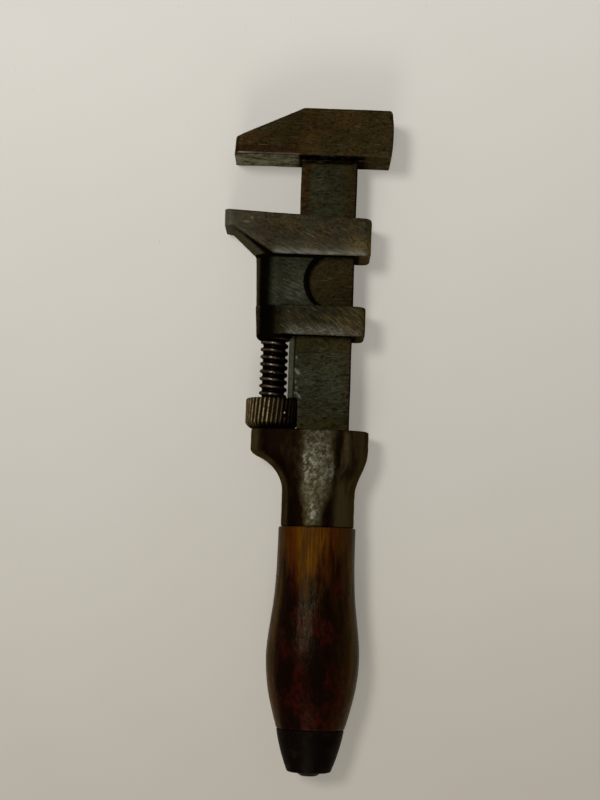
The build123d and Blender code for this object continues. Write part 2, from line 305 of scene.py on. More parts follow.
flakeEdge = (0.4, 1.2)  # squared reach over which a spot fades
flakeRagged = 5.0  # how much the grit breaks that edge


# leaning spots with broken edges, 1 inside and 0 outside
def flakes(f, side, spots, grit):
    total = 0
    for x, y, wide, high, lean in spots:
        across = (side - x + lean * (f.y - y)) / wide
        along = (f.y - y) / high
        reach = across * across + along * along + (grit - 0.5) * flakeRagged
        total = total + (1 - reach.ramp(*flakeEdge))
    return total


# light and dark of an old forging: blots, grit and fine scratches, all dimmer outside the smudges
def forgedTone(blots, grit, fine, smudge):
    return (0.25 * blots + 0.40 * grit + 0.35 * fine).ramp(0.34, 0.64) * (0.60 + 0.40 * smudge)


def forgedSteel(look):
    f = Finish("forgedSteel", look)
    patches = f.cloud(9, (1.3, 1, 1.3))
    blots = f.cloud(2.6, (1.8, 1, 1.8), turn=0.06, detail=4, rough=0.6)
    grit = f.cloud(0.9, detail=4, rough=0.7, shift=2.0)
    pits = f.cloud(1.5, (1.5, 1, 1), detail=2, shift=5.0).ramp(0.61, 0.69)
    across = f.cloud(0.5, (12, 1, 12), turn=-0.06)  # scratches across the bar
    slanted = f.cloud(0.5, (8, 1, 8), turn=0.35, shift=3.0)
    scratches = across.ramp(0.58, 0.72) + 0.8 * slanted.ramp(0.60, 0.74)
    fine = f.cloud(0.6, (3, 1, 3), turn=0.15, shift=7.0)
    smudge = f.cloud(13, (1.5, 1, 1.5), detail=2, shift=9.0).ramp(0.36, 0.60)
    tone = forgedTone(blots, grit, fine, smudge) * (1 - 0.8 * pits)
    hue = patches.ramp(0.40, 0.60)
    side = f.x - barAxis
    onBar = f.y.below("headFoot")
    inside = f.z.size().below("headDepth")  # behind the head's flat sides
    onFace = f.y.below("faceTop") * (1 - onBar) * inside
    ahead = side.below("barFront")  # in front of the bar
    # the head, its grip face with painted shade along its front rim, and painted shade in the corner over
    # the bar
    head = f.mix(hue, "headBrown", "headOlive")
    head = f.mix(f.y.near("redLine") * ahead * 0.8, head, "headRed")
    head = f.mix(tone, "headDark", head)
    lit = (0.6 * blots + 0.4 * grit).ramp(0.38, 0.58) * (1 - 0.85 * pits)
    face = f.mix(lit, "gripPit", "gripFace")
    face = f.mix(f.z.above("faceRim") * 0.8, face, "paintedShadeBlack")
    head = f.mix(onFace * ahead, head, face)
    backFace = f.mix(tone, "headDark", "underOlive")
    head = f.mix(onFace * side.above("barBack"), head, backFace)
    head = f.mix(onFace * (1 - ahead) * side.below("overBar"), head, "paintedShadeBlack")
    # the bar, brown with grey-green stretches, red strips in front and behind, and painted shade along its
    # back edge and just under the head
    grey = f.y.near("greyLow") + 0.6 * f.y.near("greyHigh") * side.near("greyMiddle")
    bar = f.mix(grey * (0.6 + 0.4 * hue), "barBrown", "barGrey")
    strip = side.below("frontStrip") * f.y.above("frontStripHeight")
    strip = strip + side.above("backStrip") * 0.5
    bar = f.mix(tone, "barDark", f.mix(strip * 0.85, bar, "stripRed"))
    bar = f.mix(f.y.near("darkBelt") * 0.35, bar, "headDark")
    # painted shade along the back edge, and a painted shadow on the bar just under the head
    backEdge = side.above("backEdge") * (0.3 + 0.7 * f.z.size().above("backEdgeDepth"))
    bar = f.mix(backEdge * 0.8, bar, "paintedShadeBlack")
    bar = f.mix(f.y.near("underHeadShadow") * 0.95, bar, "paintedShadeBlack")
    bar = f.mix(side.below("ribFace") * (0.45 + 0.55 * tone), bar, "ribGrey")
    base = f.mix(onBar, head, bar)
    # worn edges, scratches and chips, and along the head's lower front edge wear with a painted highlight
    wear = f.attribute("wear") * grit.ramp(0.40, 0.62)
    # wear with a painted highlight along the head's lower front edge
    lowEdge = f.y.near("lowEdge") * f.z.above("lowEdgeDepth") * ahead
    lowEdge = lowEdge * (0.25 + 0.75 * side.below("nose"))
    chips = flakes(f, side, look["chips"], grit) * f.z.above("chipsDepth")
    base = f.mix(chips.eased(), base, "chip")
    base = f.mix(wear * 0.06 + lowEdge * 0.7 + scratches * 0.13, base, "worn")
    height = grit * 0.5 + blots * 0.8 + patches * 0.6 - scratches * 0.3 - chips * 0.6 - pits * 0.4
    return f.darkMetal(
        Base_Color=base,
        Metallic=0.35 + wear * 0.25,
        Roughness=0.48 + 0.25 * blots,
        Normal=f.bump(height, 0.35, 1.0),
    )


jawLook = {
    "dark": colour(0.0068, 0.0066, 0.0035),
    "green": colour(0.045, 0.047, 0.0265),
    "brown": colour(0.057, 0.041, 0.0185),
    "olive": colour(0.048, 0.0425, 0.0222),
    "bandOlive": colour(0.025, 0.0205, 0.009),
    "bandBrown": colour(0.072, 0.052, 0.016),
    "deepBrown": colour(0.01, 0.0074, 0.0033),
    "paintedShadeBlack": colour(0.0007, 0.0004, 0.0001),
    "sheen": colour(0.042, 0.0385, 0.018),
    "brownSheen": colour(0.025, 0.017, 0.007),
    "ochre": colour(0.125, 0.088, 0.026),
    "rub": colour(0.15, 0.142, 0.108),
    "worn": colour(0.3, 0.28, 0.22),
    "upperFoot": (-39.2, -38.2), "lowBandTop": (-58.3, -57.3), "frontDepth": (9.8, 10.8),
    "webTop": (-47, -40), "bandMiddle": (-6, 8), "bandTop": (-65, -58), "corner": (3, 12),
    "cornerHeight": (-35, -28), "backEnd": (15.0, 16.2), "beakTipX": (-15, -11), "beakX": (-10, 4),
    # the gusset's outline starts at this place and height, and runs in by the slope on its way down
    "gussetX": -15.15, "gussetY": -28.1, "gussetSlope": 1.17,
    "gussetTop": (-28.9, -28.3), "gussetBackX": (4, 6), "gussetSheen": (2.0, 4.6), "gussetDark": (2.4, 5.0),
    "barrelSheenX": (-2.2, -0.6), "barrelFrontX": (-2.6, -0.6), "barrelBackX": (0.8, 5.4),
    "bandSheenX": (-1.8, 0.2), "bandFrontX": (-2.2, 0.0), "bandBackX": (2.6, 9.6),
    "upperUnder": (-38.6, 0.5, 0.8), "lowUnder": (-69.6, 0.5, 0.8), "underBack": (11.8, 13.2),
    # the ring round the window is told by the square of its radius
    "windowX": 27.75, "windowY": -48.05, "ringSquare": (124, 22, 32), "ringEndX": (27, 29),
    "rubSheenEdge": -38.4, "rubSheenNear": (0.2, 3.0), "rubSheenFar": (0.0, 8.5), "rubSheenX": (0, 7),
    "scuffedEdge": -69.5, "scuffedHigh": (0.6, 5.6), "scuffedX": (8, 12), "scuffedBack": (4, 14),
    "scuffs": ((-31.0, -26.5, 1.3, 0.5, 0.0), (-29.0, -24.8, 0.7, 0.6, 0.0)),
    "cheekX": (12.0, 1.0, 5.5), "cheekHeight": (-52.5, 1.0, 6.5),
}


def jawIron(look):
    f = Finish("jawIron", look)
    patches = f.cloud(7, shift=2.0)
    blots = f.cloud(2.2, (1.9, 1, 1.9), turn=0.05, detail=4, rough=0.6, shift=1.0)
    grit = f.cloud(0.9, detail=4, rough=0.7, shift=3.0)
    lines = f.cloud(0.5, (10, 1, 10), turn=-0.45, shift=4.0)
    slanted = f.cloud(0.5, (7, 1, 7), turn=-0.70, shift=6.0)
    streaks = f.cloud(1.0, (5, 1, 5), turn=-0.35, detail=4, shift=7.0)
    fine = f.cloud(0.6, (3, 1, 3), turn=-0.5, shift=8.0)
    smudge = f.cloud(10, (1.5, 1, 1.5), detail=2, shift=9.0).ramp(0.36, 0.60)
    tone = forgedTone(blots, grit, fine, smudge)
    side = f.x - barAxis
    upper = f.y.above("upperFoot")
    lowBand = f.y.below("lowBandTop")
    between = (1 - upper) * (1 - lowBand)
    onFront = f.z.size().above("frontDepth")
    # the beak, the web and the lower band
    # the web gets painted shade towards the upper band above it
    web = f.mix(tone * (1 - 0.5 * f.y.above("webTop")), "dark", "green")
    face = f.mix(patches.ramp(0.42, 0.58), "brown", "olive")
    face = f.mix(tone, "deepBrown", face)
    diagonal = f.cloud(0.8, (6, 1, 6), turn=-0.7, detail=4, shift=5.0).ramp(0.46, 0.62)
    lifted = (0.25 + 0.65 * side.above("bandMiddle")) * (1 - 0.55 * f.y.above("bandTop"))
    band = f.mix(diagonal * lifted, f.mix(tone, "dark", "bandOlive"), "bandBrown")
    base = f.mix(upper, f.mix(lowBand, web, band), face)
    corner = upper * f.y.below("cornerHeight") + 0.2 * lowBand
    corner = side.above("corner") * corner + side.above("backEnd") * 0.4
    base = f.mix(corner * (0.25 + 0.75 * grit.ramp(0.38, 0.58)) * 0.6, base, "ochre")
    tip = 0.25 - 0.25 * f.x.above("beakTipX") + 0.10 - 0.10 * f.x.above("beakX")
    base = f.mix(tip * upper, base, "rub")
    # Painted shade darkens the barrel and the gusset between their outline, which has a painted sheen, and
    # the faces.
    past = f.x - look["gussetX"] + look["gussetSlope"] * (f.y - look["gussetY"])
    gusset = upper * (1 - onFront) * f.y.below("gussetTop") * f.x.below("gussetBackX")
    edge = f.x.below("barrelSheenX") * between + past.below("gussetSheen") * gusset
    base = f.mix(edge * (0.5 + 0.5 * tone), base, "sheen")
    # a painted sheen along the lower band's front outline
    base = f.mix(f.x.below("bandSheenX") * lowBand, base, "brownSheen")
    barrel = f.x.above("barrelFrontX") * f.x.below("barrelBackX") * between
    barrel = barrel + f.x.above("bandFrontX") * f.x.below("bandBackX") * lowBand
    beak = past.above("gussetDark") * gusset
    # painted shade under the two bands and round the window
    under = (f.y.near("upperUnder") + f.y.near("lowUnder")) * (1 - onFront)
    under = under * (1 - 0.75 * side.above("underBack"))
    ringX, ringY = f.x - look["windowX"], f.y - look["windowY"]
    ring = (ringX * ringX + ringY * ringY).near("ringSquare")
    ring = ring * f.x.below("ringEndX") * between
    shade = (barrel + beak + under + ring).eased()
    # worn edges, scratches, the rubbed lower edge with a painted sheen, and scuffs
    wear = f.attribute("wear") * grit.ramp(0.40, 0.62)
    scratches = lines.ramp(0.60, 0.72) + slanted.ramp(0.60, 0.72) * (0.5 + lowBand)
    # wear with a painted sheen along the upper band's lower edge
    above = f.y - look["rubSheenEdge"]
    rubbedAndSheen = 0.6 - 0.6 * above.above("rubSheenNear") + 0.4 - 0.4 * above.above("rubSheenFar")
    rubbedAndSheen = rubbedAndSheen * upper * onFront * f.x.above("rubSheenX")
    rubbedAndSheen = rubbedAndSheen * (0.45 + 0.55 * streaks.ramp(0.34, 0.62))
    flecks = f.cloud(0.9, (1.6, 1, 1.6), detail=4, shift=9.0).ramp(0.48, 0.60)
    scuffs = (f.y - look["scuffedEdge"]).below("scuffedHigh") * lowBand * onFront
    scuffs = scuffs * f.x.above("scuffedX") * (1 - side.above("scuffedBack") * 0.6)
    scuffs = scuffs * (0.15 + 0.55 * flecks + 0.5 * slanted.ramp(0.48, 0.62))
    scuffs = scuffs + flakes(f, side, look["scuffs"], grit) * 0.35
    cheek = f.x.near("cheekX") * f.y.near("cheekHeight") * streaks.ramp(0.36, 0.64)
    base = f.mix((rubbedAndSheen * 0.9).eased(), base, "rub")
    base = f.mix(wear * 0.12 + scratches * 0.15 + scuffs * 0.42 + cheek * 0.13, base, "worn")
    # the painted shade, near black
    base = f.mix(shade * 0.95, base, "paintedShadeBlack")
    height = grit * 0.5 + blots * 0.8 + patches * 0.6 - scratches * 0.35 + flecks * scuffs * 0.4
    return f.darkMetal(
        Base_Color=base,
        Metallic=0.35 + (wear + rubbedAndSheen) * (1 - shade) * 0.2,
        Roughness=0.46 + 0.25 * blots,
        Normal=f.bump(height, 0.35, 1.0),
    )


screwLook = {
    "root": colour(0.0016, 0.0009, 0.0006),
    "flank": colour(0.0165, 0.0108, 0.006),
    "crest": colour(0.105, 0.088, 0.06),
    "deepShadeSide": (-0.4, 3.0),  # from the screw's axis
}


def screwSteel(look):
    f = Finish("screwSteel", look)
    mottle = f.cloud(1.2, detail=4)
    crest = f.attribute("crest")
    # painted light and shade: the left of the axis is painted lit and the right dark, and the crests get a
    # painted highlight on the lit side
    litSide = (f.x - screwAxis).below("deepShadeSide")
    base = f.mix(crest.ramp(0.1, 0.9) * (0.3 + 0.7 * litSide), "root", "flank")
    lit = crest.ramp(0.80, 1.0) * mottle.ramp(0.36, 0.62) * (0.1 + 0.65 * litSide)
    base = f.mix(lit, base, "crest")
    return f.darkMetal(
        Base_Color=base,
        Metallic=0.7,
        Roughness=0.26 + 0.2 * mottle,
        Normal=f.bump(mottle, 0.08, 0.6),
    )


wheelLook = {
    "groove": colour(0.008, 0.0048, 0.0018),
    "bronze": colour(0.044, 0.029, 0.0115),
    "crest": colour(0.25, 0.185, 0.1),
    "paintedShadeBlack": colour(0.0012, 0.0008, 0.0003),
    # places across count from the screw's axis here
    "halfShadeSide": (-1.6, 0.6), "deepShadeSide": (0.8, 6.4),
    "shadeFoot": (-103.6, -102.6), "footFront": (-7, -3),
}


def wheelIron(look):
    f = Finish("wheelIron", look)
    mottle = f.cloud(1.1, detail=4)
    blots = f.cloud(3.0, shift=2.0)
    crest = f.attribute("crest")
    off = f.x - screwAxis
    base = f.mix(crest.ramp(0.05, 0.75), "groove", "bronze")
    lit = crest.ramp(0.72, 1.0) * mottle.ramp(0.30, 0.6) * (0.45 + 0.55 * blots.ramp(0.40, 0.60))
    base = f.mix(lit * 0.9, base, "crest")
    # painted shade on the wheel's right side, deeper further right and on the lower bevel
    base = f.mix(off.above("halfShadeSide") * 0.55, base, "groove")
    foot = f.y.below("shadeFoot") * (0.35 + 0.6 * off.above("footFront"))
    paintedShade = (off.above("deepShadeSide") + foot).eased()
    base = f.mix(paintedShade * (0.95 - 0.15 * crest.ramp(0.7, 1.0)), base, "paintedShadeBlack")
    return f.darkMetal(
        Base_Color=base,
        Metallic=0.5,
        Roughness=0.42 + 0.2 * mottle,
        Normal=f.bump(mottle, 0.10, 0.6),
    )


ferruleLook = {
    "black": colour(0.0046, 0.0021, 0.0008),
    "brown": colour(0.025, 0.016, 0.0055),
    "olive": colour(0.039, 0.03, 0.0115),
    "silverSheen": colour(0.106, 0.1, 0.067),
    "shine": colour(0.2, 0.2, 0.155),
    "spots": (
        (-2.0, -136.0, 1.6, 4.4, 0.0), (4.6, -122.5, 0.9, 3.4, -0.25), (-4.4, -118.0, 1.8, 3.2, 0.2),
    ),
    # the rubbed band, worn metal with a painted highlight: its middle and half-width, how much both change
    # towards the neck, and how ragged it is
    "bandMiddle": -1.0, "bandHalf": 5.8, "neckShift": 0.9, "neckNarrower": 3.0, "ragged": 1.2,
    "narrowing": (-140, -122), "frontDepth": (2.0, 6.0), "topFade": (-118, -107), "neckFade": (-136, -120),
    "neckTop": (-128, -122),
}


def ferruleIron(look):
    f = Finish("ferruleIron", look)
    patches = f.cloud(3.5, (1, 5, 1), detail=4, shift=3.0)
    hammered = f.cloud(1.9, detail=4, rough=0.6)
    grit = f.cloud(0.7, detail=3, shift=2.0)
    slanted = f.cloud(0.7, (4, 1, 4), turn=0.9, detail=3, shift=8.0)
    worked = f.cloud(3.4, (1, 1.5, 1), detail=4, shift=6.0)
    around = f.attribute("around")
    side = f.x - barAxis
    front = f.z.above("frontDepth")
    # distance from the band's middle, over its half-width
    narrow = f.y.below("narrowing")
    reach = (side - look["bandMiddle"] + look["neckShift"] * narrow).size()
    reach = reach / (look["bandHalf"] - look["neckNarrower"] * narrow) + (worked - 0.5) * look["ragged"]
    dents = (0.50 * hammered + 0.25 * grit + 0.25 * slanted).ramp(0.44, 0.60)
    # worn metal with a painted highlight over it, in the middle of the front
    rubbedAndSheen = (1 - reach.ramp(0.60, 1.15)) * (0.10 + 0.90 * dents) * front
    rubbedAndSheen = rubbedAndSheen * (1 - 0.45 * f.y.above("topFade")) * (0.40 + 0.60 * f.y.above("neckFade"))
    right = around.ramp(0.25, 0.55)
    brown = patches.ramp(0.46, 0.66) * 0.3 + right * (0.4 + 0.9 * patches.ramp(0.40, 0.60))
    base = f.mix(brown.eased(), "black", "brown")
    # an olive painted reflection along the outline, a painted sheen as a fringe round the band, and more
    # olive on the back and the neck
    fringe = 1 - reach.ramp(0.9, 1.7)
    outline = around.size().ramp(0.70, 0.92)
    neck = right * f.y.below("neckTop")
    olive = fringe * 0.6 + outline * 0.9 + around.ramp(0.6, 0.9) * 0.3 + neck * 0.7
    base = f.mix(olive.eased() * (0.45 + 0.65 * patches.ramp(0.36, 0.62)), base, "olive")
    base = f.mix(rubbedAndSheen, base, "silverSheen")
    # painted highlights in spots on the band
    shine = flakes(f, side, look["spots"], grit) * front * (0.1 + 0.9 * dents)
    base = f.mix(shine.eased() * 0.55, base, "shine")
    # a painted highlight line along the crease
    base = f.mix(f.attribute("creaseHighlight") * 0.14, base, "silverSheen")
    return f.darkMetal(
        Base_Color=base,
        Metallic=0.45 + rubbedAndSheen * 0.3,
        Roughness=0.36 + 0.14 * patches,
        Normal=f.bump(hammered + grit * 0.35, 0.40, 0.9),
    )


woodLook = {
    "black": colour(0.0032, 0.0009, 0.0003),
    "red": colour(0.019, 0.0018, 0.001),
    "rust": colour(0.042, 0.008, 0.0004),
    "brown": colour(0.0175, 0.007, 0.001),
    "amber": colour(0.092, 0.033, 0.0001),
    "honeyAndReflection": colour(0.042, 0.02, 0.0018),
    "varnishTint": colour(1.0, 0.86, 0.52),
    "brownHeight": (-205, -155),
    # the amber: its tongue's middle and steepness, its sway along the grain, and where it fades to the sides
    "tongueMiddle": -2.0, "tongueSlope": 1.1, "sway": 26, "amberHeight": (-172, -150),
    "amberMiddle": -3.2, "amberSides": (3.0, 10.0),
    "rustFront": (-9.0, 0.8, 3.0), "rustBack": (6.0, 0.6, 2.6), "rustHeight": (-165, -150),
}


def varnishedWood(look):
    f = Finish("varnishedWood", look)
    grain = f.cloud(0.8, (1, 18, 1), detail=5, rough=0.65)
    broad = f.cloud(3.0, (1, 5, 1), shift=2.0)
    clouds = f.cloud(7, (1, 1.8, 1), shift=4.0)
    spots = f.cloud(1.5, (1, 1.8, 1), detail=4, shift=5.0)
    side = f.x - barAxis
    around = f.attribute("around")
    reddish = clouds.ramp(0.44, 0.62) * (0.3 + 0.7 * spots.ramp(0.42, 0.60))
    base = f.mix(reddish, "black", "red")
    brown = f.y.above("brownHeight") * broad.ramp(0.42, 0.62) * grain.ramp(0.36, 0.60)
    base = f.mix(brown * 0.6, base, "brown")
    # amber where the varnish has rubbed thin under the ferrule
    drop = (side - look["tongueMiddle"]).size() * look["tongueSlope"]
    top = (f.y + (broad - 0.5) * look["sway"] - drop).above("amberHeight")
    top = top * (1 - 0.6 * (side - look["amberMiddle"]).size().above("amberSides"))
    worn = top * (0.40 + 0.60 * grain.ramp(0.38, 0.58)) * (0.60 + 0.40 * broad.ramp(0.38, 0.58))
    base = f.mix(worn, base, "amber")
    rust = (side.near("rustFront") + side.near("rustBack")) * f.y.above("rustHeight")
    base = f.mix(rust * grain.ramp(0.44, 0.54) * 0.85, base, "rust")
    # painted reflection of the floor along the outline, and a browner back half
    edge = around.size().ramp(0.74, 0.94) + 0.35 * around.ramp(0.15, 0.85)
    base = f.mix(edge.eased() * (0.5 + 0.5 * broad.ramp(0.38, 0.58)), base, "honeyAndReflection")
    height = grain * 0.35 + broad * 0.9 + spots * 0.7 + clouds * 0.8
    return f.surface(
        Base_Color=base,
        Roughness=0.17 + 0.22 * spots + 0.35 * worn,
        Specular_IOR_Level=0.033,
        Specular_Tint=look["varnishTint"],
        Normal=f.bump(height, 0.30, 0.8),
    )


capLook = {
    "dark": colour(0.0018, 0.0007, 0.0003),
    "brown": colour(0.0075, 0.0036, 0.0014),
    "worn": colour(0.04, 0.03, 0.019),
    "sheenTint": colour(1.0, 0.86, 0.6),
}


# for the cap and the nuts; only the tang nut carries wear
def capIron(look, name):
    f = Finish(name, look)
    patches = f.cloud(5, shift=1.0)
    mottle = f.cloud(1.1, detail=4)
    base = f.mix(patches.ramp(0.48, 0.72), "dark", "brown")
    base = f.mix(f.attribute("wear") * mottle.ramp(0.3, 0.6) * 0.6, base, "worn")
    return f.surface(
        Base_Color=base,
        Roughness=0.36 + 0.2 * patches,
        Specular_IOR_Level=0.03,
        Specular_Tint=look["sheenTint"],
        Normal=f.bump(mottle + patches, 0.15, 0.7),
    )


pinLook = {"steel": colour(0.55, 0.52, 0.45), "stain": colour(0.006, 0.004, 0.002)}


# polished in the middle of each end
def pinSteel(look):
    f = Finish("pinSteel", look)
    spot = f.attribute("spot")
    return f.surface(
        Base_Color=f.mix(spot, "stain", "steel"),
        Metallic=spot * 0.5,
        Roughness=0.45 - 0.1 * spot,
        Specular_IOR_Level=0.0,
    )


steelFinish = forgedSteel(steelLook)
jawFinish = jawIron(jawLook)
screwFinish = screwSteel(screwLook)
wheelFinish = wheelIron(wheelLook)
ferruleFinish = ferruleIron(ferruleLook)
woodFinish = varnishedWood(woodLook)
capFinish = capIron(capLook, "capIron")
nutFinish = capIron(capLook, "nutIron")
pinFinish = pinSteel(pinLook)
print("finishes ready")


# forged pieces: an even copy of the solid with rounded, dented edges
def readArray(source, name, width, kind):
    values = np.empty(len(source) * width, kind)
    source.foreach_get(name, values)
    return values.reshape(-1, width)


def setAttribute(mesh, name, values):
    layer = mesh.attributes.new(name, "FLOAT", "POINT")
    layer.data.foreach_set("value", values.astype(np.float32))


# mean of the values at the points that an edge joins to each point
def neighbourMean(values, pairs, count):
    first, second = pairs[:, 0], pairs[:, 1]
    total = np.bincount(first, values[second], count) + np.bincount(second, values[first], count)
    beside = np.bincount(first, minlength=count) + np.bincount(second, minlength=count)
    return total / np.maximum(beside, 1)


mergeReach = 0.002  # points of a solid's mesh closer than this, in mm, are one


# The copy's points are merged, what lies below the lowest height is cut off, and the rest gets even faces.
def evenCopy(node, voxel, lowestY):
    work = bmesh.new()
    work.from_mesh(nodes[node].data)
    bmesh.ops.remove_doubles(work, verts=work.verts, dist=mergeReach * mm)
    if lowestY is not None:
        parts = work.verts[:] + work.edges[:] + work.faces[:]
        cut = bmesh.ops.bisect_plane(
            work, geom=parts, plane_co=(0, lowestY * mm, 0), plane_no=(0, -1, 0), clear_outer=True
        )
        rim = [e for e in cut["geom_cut"] if isinstance(e, bmesh.types.BMEdge)]
        bmesh.ops.holes_fill(work, edges=rim)
    mesh = bpy.data.meshes.new(node + "Even")
    work.to_mesh(mesh)
    work.free()
    helper = newObject(node + "Even", mesh)
    even = helper.modifiers.new("even", "REMESH")
    even.mode, even.voxel_size, even.use_smooth_shade = "VOXEL", voxel * mm, True
    evaluated = helper.evaluated_get(bpy.context.evaluated_depsgraph_get())
    made = bpy.data.meshes.new_from_object(evaluated)
    bpy.data.objects.remove(helper)
    return made


wearSizes = {"forging": 11, "pitting": 2.6, "nicks": 2.2}  # of the unevenness, in mm
nickFrom = 0.25  # noise that starts a nick


# Each point moves towards the mean of its neighbours, which rounds the edges. How far a point stands
# above its neighbours along its normal, over the mesh size, is its sharpness, and gives the wear.
# Then the surface sinks by value noise, and the sharp edges by more of it.
def wearDown(mesh, shape):
    count = len(mesh.vertices)
    points = readArray(mesh.vertices, "co", 3, np.float32).astype(float) / mm
    pairs = readArray(mesh.edges, "vertices", 2, np.int32)
    normals = readArray(mesh.vertex_normals, "vector", 3, np.float32).astype(float)
    sharp = np.zeros(count)
    for _ in range(shape["rounds"]):
        around = np.stack([neighbourMean(points[:, k], pairs, count) for k in range(3)], -1)
        sharp += np.sum((points - around) * normals, axis=1) / shape["voxel"]
        points += (around - points) * 0.5
    for _ in range(shape["spread"]):
        sharp = 0.4 * sharp + 0.6 * neighbourMean(sharp, pairs, count)
    wear = np.clip(sharp * shape["wearGain"], 0, 1)
    dents = shape["forging"] * (unevenness(points, wearSizes["forging"], shape["seed"]) - 1) / 2
    dents = dents + shape["pitting"] * (unevenness(points, wearSizes["pitting"], shape["seed"] + 1) - 1) / 2
    nicks = np.maximum(unevenness(points, wearSizes["nicks"], shape["seed"] + 2) - nickFrom, 0)
    dents = dents - shape["nicks"] * nicks * wear
    points += normals * dents[:, None]
    mesh.vertices.foreach_set("co", (points * mm).astype(np.float32).ravel())
    setAttribute(mesh, "wear", wear)
    mesh.update()
    mesh.shade_smooth()


barShape = {
    "voxel": 0.42, "rounds": 2, "spread": 1, "wearGain": 3.5, "seed": 11,
    "forging": 0.18, "pitting": 0.06, "nicks": 0.35, "lowestY": -110.0,
}
jawShape = {
    "voxel": 0.40, "rounds": 2, "spread": 1, "wearGain": 3.5, "seed": 23,
    "forging": 0.16, "pitting": 0.06, "nicks": 0.45, "lowestY": None,
}
nutShape = {
    "voxel": 0.22, "rounds": 2, "spread": 2, "wearGain": 3.0, "seed": 37,
    "forging": 0.10, "pitting": 0.04, "nicks": 0.2, "lowestY": None,
}


def forgedPiece(name, node, body, finish, slotName, shape):
    mesh = evenCopy(node, shape["voxel"], shape["lowestY"])
    wearDown(mesh, shape)
    addPiece(name, mesh, body, finish, slotName, node)


forgedPiece("wornBar", "bar_and_head", "frame", steelFinish, "forged_steel", barShape)
forgedPiece("wornJaw", "sliding_jaw", "jaw", jawFinish, "jaw_iron", jawShape)
forgedPiece("wornTangNut", "tang_nut", "frame", nutFinish, "nut_steel", nutShape)


# adjusting screw
screwShape = {
    "top": -44.8, "bottom": -93.5, "crestRadius": 5.35, "rootRadius": 4.35, "pitch": 2.82,
    "phase": 0.39, "crestShare": 0.10, "flankShare": 0.28, "lead": 0.9, "bevel": 0.5, "bevelShare": 0.12,
    "rows": 620, "columns": 72,
}


# The radius is a helix: the turn count y / pitch + angle / 360 runs past the crest's phase, and a
# smooth step over its distance from the crest takes the radius from crest to root. At the top the thread
# starts over the lead, and the end is bevelled.
def screwMesh(shape):
    y = np.linspace(shape["top"], shape["bottom"], shape["rows"])[:, None]
    angle = onceRound(shape["columns"])
    turn = y / shape["pitch"] + angle / (2 * np.pi) - shape["phase"]
    away = np.abs(turn - np.round(turn))
    crest = 1 - smoothStep(away, shape["crestShare"], shape["crestShare"] + shape["flankShare"])
    down = shape["top"] - y
    crest = crest * smoothStep(down, 0.0, shape["lead"])
    radius = shape["rootRadius"] + (shape["crestRadius"] - shape["rootRadius"]) * crest
    radius = radius * (1 - shape["bevelShare"] * (1 - smoothStep(down, 0.0, shape["bevel"])))
    rings = np.stack([screwAxis + radius * np.sin(angle), y + 0 * angle, radius * np.cos(angle)], -1)
    mesh = skinMesh("adjustingScrew", rings)
    setAttribute(mesh, "crest", np.concatenate([(crest + 0 * angle).ravel(), [0, 0]]))
    return mesh


addPiece("turnedScrew", screwMesh(screwShape), "screw", screwFinish, "screw_steel", "adjusting_screw")


# knurled thumb wheel
wheelShape = {
    "top": -93.53, "bottom": -105.03, "radius": 10.2, "knurls": 36, "turn": 1.75, "twist": 0.55,
    "depth": 0.6, "crestWave": (0.1, 0.95), "cutInset": (2.0, 0.3), "topRound": 0.9, "lowBevel": 2.0,
    "bow": 0.25, "faceStart": 0.3, "faceInset": 2.2, "faceShade": 0.35, "middleShade": 0.3,
    "pinTurn": 30.0, "pinHole": 1.3, "holeEdge": 0.2, "holeFloor": 9.2,
    "faceRows": 12, "sideRows": 44, "columns": 540,
}


# The profile runs from the axis out over the top face, round the rim, down the side, in over a slightly
# bowed bevel and back along the bottom. The rim's radius falls by the knurl depth away from each crest,
# which follows a raised cosine of the knurl count and turns a little with the height. Inside the two round
# holes for the pin it falls to a floor.
def wheelMesh(shape):
    radius, rows = shape["radius"], shape["faceRows"]
    share = np.linspace(0, 1, rows)
    bend = share * np.pi / 2
    middle = (shape["top"] + shape["bottom"]) / 2
    outTop = radius - shape["topRound"] * (1 - np.sin(bend))
    downTop = shape["top"] - shape["topRound"] * (1 - np.cos(bend))
    outLow = radius - shape["lowBevel"] * share + shape["bow"] * np.sin(np.pi * share)
    downLow = shape["bottom"] + shape["lowBevel"] * (1 - share)
    face = np.linspace(shape["faceStart"], radius - shape["faceInset"], rows)
    side = np.linspace(downTop[-1], downLow[0], shape["sideRows"])[1:-1]
    out = np.concatenate([face, outTop, np.full(len(side), radius), outLow, face[::-1]])[:, None]
    topFace, lowFace = np.full(rows, shape["top"]), np.full(rows, shape["bottom"])
    y = np.concatenate([topFace, downTop, side, downLow, lowFace])[:, None]
    angle = onceRound(shape["columns"])
    lean = np.radians(shape["turn"] + shape["twist"] * (y - middle))
    wave = 0.5 + 0.5 * np.cos(shape["knurls"] * (angle - lean))
    crest = smoothStep(wave, *shape["crestWave"])
    cut = smoothStep(out, *(radius - inset for inset in shape["cutInset"]))
    away = out - shape["depth"] * (1 - crest) * cut
    for end in (shape["pinTurn"], shape["pinTurn"] - 180):
        across = (angle - np.radians(end) + np.pi) % (2 * np.pi) - np.pi
        fromPin = np.hypot(across * radius, y - middle)
        hole = 1 - smoothStep(fromPin, shape["pinHole"], shape["pinHole"] + shape["holeEdge"])
        away = away - np.maximum(away - shape["holeFloor"], 0) * hole * cut
    rings = np.stack([screwAxis + away * np.sin(angle), y + 0 * angle, away * np.cos(angle)], -1)
    mesh = skinMesh("thumbWheel", rings)
    shade = crest * cut + shape["faceShade"] * (1 - cut)
    setAttribute(mesh, "crest", np.concatenate([shade.ravel(), [shape["middleShade"]] * 2]))
    return mesh


addPiece("knurledWheel", wheelMesh(wheelShape), "screw", wheelFinish, "wheel_iron", "thumb_wheel")


